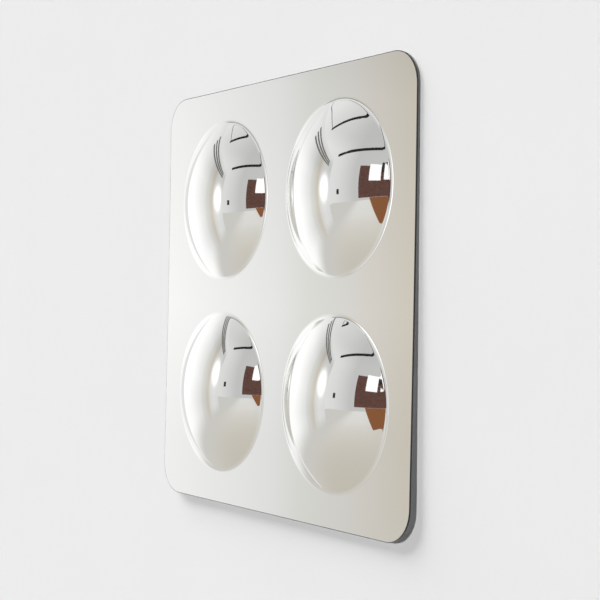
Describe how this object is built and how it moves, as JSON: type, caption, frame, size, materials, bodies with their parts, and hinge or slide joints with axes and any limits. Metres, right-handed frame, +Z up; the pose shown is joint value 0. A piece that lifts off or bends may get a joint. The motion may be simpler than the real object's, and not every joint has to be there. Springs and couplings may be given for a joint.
{
  "type": "wall mirror",
  "caption": "Square wall mirror: one mirrored acrylic sheet with convex domes formed in it, hung on flush clips with rubber bumpers behind.",
  "frame": {"origin": "on the wall plane, behind the middle of the sheet", "axes": "+Z up, the mirror faces -Y, +X to the right for someone who looks at it"},
  "size_m": [0.78, 0.0927, 0.78],
  "materials": {
    "silvered_acrylic": "silvered acrylic, gloss, painted grey on the back",
    "clip_steel": "zinc-plated sheet steel",
    "clip_tape": "white foam mounting tape",
    "screw_steel": "yellow zinc-plated steel",
    "plug_nylon": "grey moulded nylon",
    "pad_foam": "white foam adhesive pad",
    "bumper_rubber": "black moulded rubber"
  },
  "bodies": {
    "wall_side": {"clip_screw_left_1": "screw_steel", "clip_screw_left_2": "screw_steel", "clip_screw_right_1": "screw_steel", "clip_screw_right_2": "screw_steel", "wall_clip_left": "clip_steel", "wall_clip_right": "clip_steel", "wall_plug_left_1": "plug_nylon", "wall_plug_left_2": "plug_nylon", "wall_plug_right_1": "plug_nylon", "wall_plug_right_2": "plug_nylon"},
    "mirror": {"bumper_left": "bumper_rubber", "bumper_middle": "bumper_rubber", "bumper_pad_left": "pad_foam", "bumper_pad_middle": "pad_foam", "bumper_pad_right": "pad_foam", "bumper_right": "bumper_rubber", "clip_tape_left": "clip_tape", "clip_tape_right": "clip_tape", "mirror_clip_left": "clip_steel", "mirror_clip_right": "clip_steel", "mirror_sheet": "silvered_acrylic"}
  },
  "joints": [
    {"name": "panel_lift", "type": "slide", "parent": "wall_side", "child": "mirror", "axis": [0, 0, 1], "range_m": [0, 0.012]}
  ]
}
